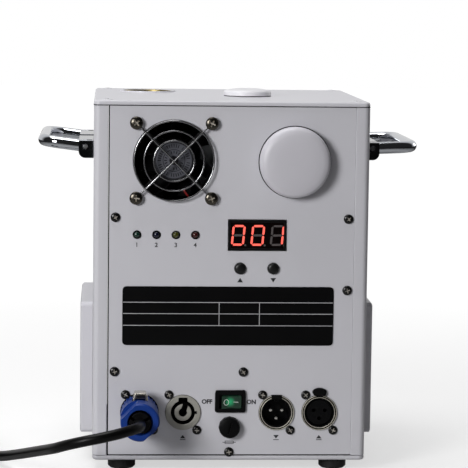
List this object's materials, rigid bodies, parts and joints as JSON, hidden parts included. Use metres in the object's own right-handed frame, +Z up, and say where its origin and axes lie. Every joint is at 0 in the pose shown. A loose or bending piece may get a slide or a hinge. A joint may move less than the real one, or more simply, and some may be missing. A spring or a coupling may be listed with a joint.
{
  "type": "cold spark machine",
  "caption": "White box-shaped stage machine on rubber feet: a blower throws granule sparks from a round nozzle in its lid. Folding side handles, rear panel with fan, display and connectors.",
  "frame": {"origin": "under the middle of the machine's box, on the ground that its feet stand on, without the cable", "axes": "+Z up; -Y out of the rear panel with the connectors; +X to the right for someone facing that panel"},
  "size_m": [0.4091, 0.2665, 0.2578],
  "materials": {
    "powder_coat": "white semi-gloss powder coat on sheet steel",
    "chrome": "polished chrome plate",
    "steel": "satin steel",
    "nickel": "satin nickel plate",
    "brass": "turned brass, heat-tinted",
    "black_plastic": "black moulded plastic",
    "grey_plastic": "grey moulded plastic",
    "white_plastic": "white moulded plastic",
    "rubber": "black rubber",
    "blue_plastic": "blue moulded plastic",
    "heater_alloy": "dull cast aluminium",
    "circuit_board": "green solder mask",
    "rating_plate": "black printed film with light rules",
    "lamp_green": "dark green lens",
    "lamp_blue": "dark blue lens",
    "lamp_yellow": "olive yellow lens",
    "lamp_red": "dark red lens",
    "rocker_green": "translucent green plastic"
  },
  "bodies": {
    "machine": {"base_tray": "powder_coat", "rear_panel": "powder_coat", "front_panel": "powder_coat", "left_side_cover": "powder_coat", "right_side_cover": "powder_coat", "top_lid": "powder_coat", "rear_left_foot": "rubber", "rear_right_foot": "rubber", "front_left_foot": "rubber", "front_right_foot": "rubber", "left_air_hood": "powder_coat", "right_air_hood": "powder_coat", "left_handle_block_rear": "chrome", "left_handle_block_front": "chrome", "left_handle_pin_rear": "steel", "left_handle_pin_front": "steel", "right_handle_block_rear": "chrome", "right_handle_block_front": "chrome", "right_handle_pin_rear": "steel", "right_handle_pin_front": "steel", "cooling_fan_frame": "black_plastic", "fan_guard": "chrome", "service_port": "white_plastic", "control_board": "circuit_board", "status_lamp_1": "lamp_green", "status_lamp_2": "lamp_blue", "status_lamp_3": "lamp_yellow", "status_lamp_4": "lamp_red", "display_module": "black_plastic", "rating_plate": "rating_plate", "power_inlet": "grey_plastic", "power_outlet": "grey_plastic", "data_in_socket": "nickel", "data_out_socket": "nickel", "switch_body": "black_plastic", "fuse_holder": "black_plastic", "spark_barrel": "brass", "heater_sleeve": "heater_alloy", "granule_hopper": "steel", "feed_motor": "steel", "blower_housing": "black_plastic", "power_supply": "steel", "power_plug": "blue_plastic", "plug_chuck": "black_plastic", "supply_cable": "rubber", "cable_coil": "rubber", "mains_plug": "rubber"},
    "left_handle": {"left_handle_bar": "chrome"},
    "right_handle": {"right_handle_bar": "chrome"},
    "fan_rotor": {"cooling_fan_rotor": "black_plastic"},
    "service_cover": {"service_cap": "white_plastic"},
    "up_key": {"up_button": "black_plastic"},
    "down_key": {"down_button": "black_plastic"},
    "socket_release": {"release_tab": "black_plastic"},
    "switch_rocker": {"rocker": "rocker_green"},
    "fuse_carrier": {"fuse_cap": "black_plastic"},
    "hopper_lid": {"hopper_cap": "white_plastic"},
    "screw": {"feed_screw": "steel"},
    "impeller": {"blower_impeller": "grey_plastic"},
    "latch": {"plug_latch": "nickel"}
  },
  "joints": [
    {"name": "left_handle_fold", "type": "hinge", "parent": "machine", "child": "left_handle", "pos_m": [-0.0984, 0.0055, 0.2186], "axis": [0, 1, 0], "range_deg": [-97, 2]},
    {"name": "right_handle_fold", "type": "hinge", "parent": "machine", "child": "right_handle", "pos_m": [0.0984, 0.0055, 0.2186], "axis": [0, -1, 0], "range_deg": [-92.5, 6.5]},
    {"name": "cooling_fan_spin", "type": "hinge", "parent": "machine", "child": "fan_rotor", "pos_m": [-0.039, -0.0745, 0.212], "axis": [0, 1, 0], "continuous": true},
    {"name": "service_cap_pull", "type": "slide", "parent": "machine", "child": "service_cover", "axis": [0, -1, 0], "range_m": [0, 0.03]},
    {"name": "up_button_press", "type": "slide", "parent": "machine", "child": "up_key", "axis": [0, 1, 0], "range_m": [0, 0.0013], "stiffness_N_per_m": 400, "springref_m": -0.001},
    {"name": "down_button_press", "type": "slide", "parent": "machine", "child": "down_key", "axis": [0, 1, 0], "range_m": [0, 0.0013], "stiffness_N_per_m": 400, "springref_m": -0.001},
    {"name": "release_tab_press", "type": "slide", "parent": "machine", "child": "socket_release", "axis": [0, 1, 0], "range_m": [0, 0.0012], "stiffness_N_per_m": 500, "springref_m": -0.001},
    {"name": "rocker_tilt", "type": "hinge", "parent": "machine", "child": "switch_rocker", "pos_m": [0.0009, -0.0868, 0.0488], "axis": [0, 0, -1], "range_deg": [0, 18]},
    {"name": "fuse_cap_pull", "type": "slide", "parent": "machine", "child": "fuse_carrier", "axis": [0, -1, 0], "range_m": [0, 0.02]},
    {"name": "hopper_cap_lift", "type": "slide", "parent": "machine", "child": "hopper_lid", "axis": [0, 0, 1], "range_m": [0, 0.03]},
    {"name": "feed_screw_spin", "type": "hinge", "parent": "machine", "child": "screw", "pos_m": [0.0145, -0.0085, 0.1346], "axis": [-0.7765, 0.6302, 0], "continuous": true},
    {"name": "blower_spin", "type": "hinge", "parent": "machine", "child": "impeller", "pos_m": [-0.02901, 0.0475, 0.0506], "axis": [0, 1, 0], "continuous": true},
    {"name": "plug_latch_slide", "type": "slide", "parent": "machine", "child": "latch", "axis": [0, -1, 0], "range_m": [0, 0.003], "stiffness_N_per_m": 300, "springref_m": -0.001}
  ]
}
